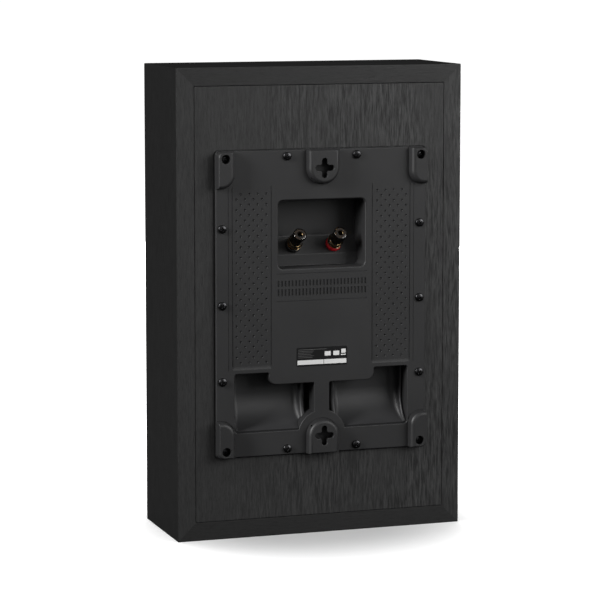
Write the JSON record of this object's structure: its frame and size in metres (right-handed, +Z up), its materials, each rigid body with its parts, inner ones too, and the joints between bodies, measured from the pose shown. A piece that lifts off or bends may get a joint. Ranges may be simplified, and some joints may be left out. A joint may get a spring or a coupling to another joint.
{
  "type": "bookshelf speaker",
  "caption": "Slim two-way bookshelf or on-wall loudspeaker: vinyl-wrapped cabinet, pull-off grille, rear module with tilted binding posts, keyholes and reflex outlets.",
  "frame": {"origin": "middle of the footprint, on the underside of the cabinet", "axes": "+Z up, the grille faces -Y, the terminals and wall pads face +Y, +X is on the left seen from the back"},
  "size_m": [0.245, 0.12, 0.385],
  "materials": {
    "vinyl": "black wood-grain vinyl over fibreboard, satin",
    "baffle": "satin black painted fibreboard",
    "fibreboard": "raw fibreboard",
    "wadding": "loose polyester wadding",
    "moulding": "fine-textured black moulded plastic",
    "foam": "closed-cell foam",
    "duct_plastic": "smooth black moulded plastic",
    "label": "black printed film label with plain bars",
    "black_screw": "black oxide steel",
    "gold_plate": "gold-plated brass",
    "black_ring": "glossy black plastic",
    "red_ring": "glossy red plastic",
    "steel": "zinc-plated steel",
    "driver_plastic": "matt black plastic",
    "rubber": "matt black rubber",
    "pulp": "fibre-flecked paper pulp",
    "spider_cloth": "varnished corrugated cloth",
    "copper_wire": "enamelled copper winding",
    "ferrite": "dark sintered ferrite",
    "silk": "coated black silk",
    "circuit_board": "green solder mask",
    "film_wrap": "yellow film wrap",
    "lead_sheath": "black flexible sheath",
    "grille_cloth": "stretched black knit"
  },
  "bodies": {
    "root": {"side_board_left": "vinyl", "side_board_right": "vinyl", "top_board": "vinyl", "bottom_board": "vinyl", "front_baffle": "baffle", "rear_panel": "vinyl", "cabinet_brace": "fibreboard", "damping_pad": "wadding", "rear_module": "moulding", "module_gasket": "foam", "port_duct_left": "duct_plastic", "port_duct_right": "duct_plastic", "rating_label": "label", "module_screw_1": "black_screw", "module_screw_2": "black_screw", "module_screw_3": "black_screw", "module_screw_4": "black_screw", "module_screw_5": "black_screw", "module_screw_6": "black_screw", "module_screw_7": "black_screw", "module_screw_8": "black_screw", "module_screw_9": "black_screw", "module_screw_10": "black_screw", "pad_screw_1": "black_screw", "pad_screw_2": "black_screw", "pad_screw_3": "black_screw", "pad_screw_4": "black_screw", "terminal_stud_black": "gold_plate", "terminal_stud_red": "gold_plate", "terminal_ring_black": "black_ring", "terminal_ring_red": "red_ring", "terminal_nut_black": "steel", "terminal_nut_red": "steel", "woofer_basket": "driver_plastic", "woofer_surround": "rubber", "woofer_spider": "spider_cloth", "woofer_top_plate": "steel", "woofer_magnet": "ferrite", "woofer_yoke": "steel", "tweeter_faceplate": "driver_plastic", "tweeter_top_plate": "steel", "tweeter_magnet": "ferrite", "tweeter_yoke": "steel", "crossover_board": "circuit_board", "crossover_coil": "copper_wire", "crossover_capacitor": "film_wrap", "input_lead": "lead_sheath", "woofer_lead": "lead_sheath", "tweeter_lead": "lead_sheath"},
    "grille": {"grille_frame": "driver_plastic", "grille_cloth": "grille_cloth"},
    "woofer_diaphragm": {"woofer_cone": "pulp", "woofer_dust_cap": "pulp", "woofer_voice_coil": "copper_wire"},
    "tweeter_diaphragm": {"tweeter_dome": "silk", "tweeter_voice_coil": "copper_wire"},
    "washer_black": {"terminal_washer_black": "gold_plate"},
    "knob_black": {"terminal_knob_black": "gold_plate"},
    "washer_red": {"terminal_washer_red": "gold_plate"},
    "knob_red": {"terminal_knob_red": "gold_plate"}
  },
  "joints": [
    {"name": "grille_pull", "type": "slide", "parent": "root", "child": "grille", "axis": [0, -1, 0], "range_m": [0, 0.045]},
    {"name": "woofer_travel", "type": "slide", "parent": "root", "child": "woofer_diaphragm", "axis": [0, -1, 0], "range_m": [-0.004, 0.004], "stiffness_N_per_m": 1000, "deforming": ["woofer_surround", "woofer_spider"]},
    {"name": "tweeter_travel", "type": "slide", "parent": "root", "child": "tweeter_diaphragm", "axis": [0, -1, 0], "range_m": [-0.0003, 0.0003], "stiffness_N_per_m": 100},
    {"name": "washer_black_slide", "type": "slide", "parent": "root", "child": "washer_black", "axis": [0, 0.8572, 0.515], "range_m": [0, 0.00361]},
    {"name": "knob_black_turn", "type": "hinge", "parent": "washer_black", "child": "knob_black", "pos_m": [0.0175, 0.03, 0.2366], "axis": [0, 0.8572, 0.515], "range_deg": [0, 1080]},
    {"name": "washer_red_slide", "type": "slide", "parent": "root", "child": "washer_red", "axis": [0, 0.8572, 0.515], "range_m": [0, 0.00361]},
    {"name": "knob_red_turn", "type": "hinge", "parent": "washer_red", "child": "knob_red", "pos_m": [-0.0175, 0.03, 0.2366], "axis": [0, 0.8572, 0.515], "range_deg": [0, 1080]}
  ],
  "couplings": [
    {"joint": "washer_black_slide", "follows": "knob_black_turn", "m_per_rad": 0.00019099},
    {"joint": "washer_red_slide", "follows": "knob_red_turn", "m_per_rad": 0.00019099}
  ]
}
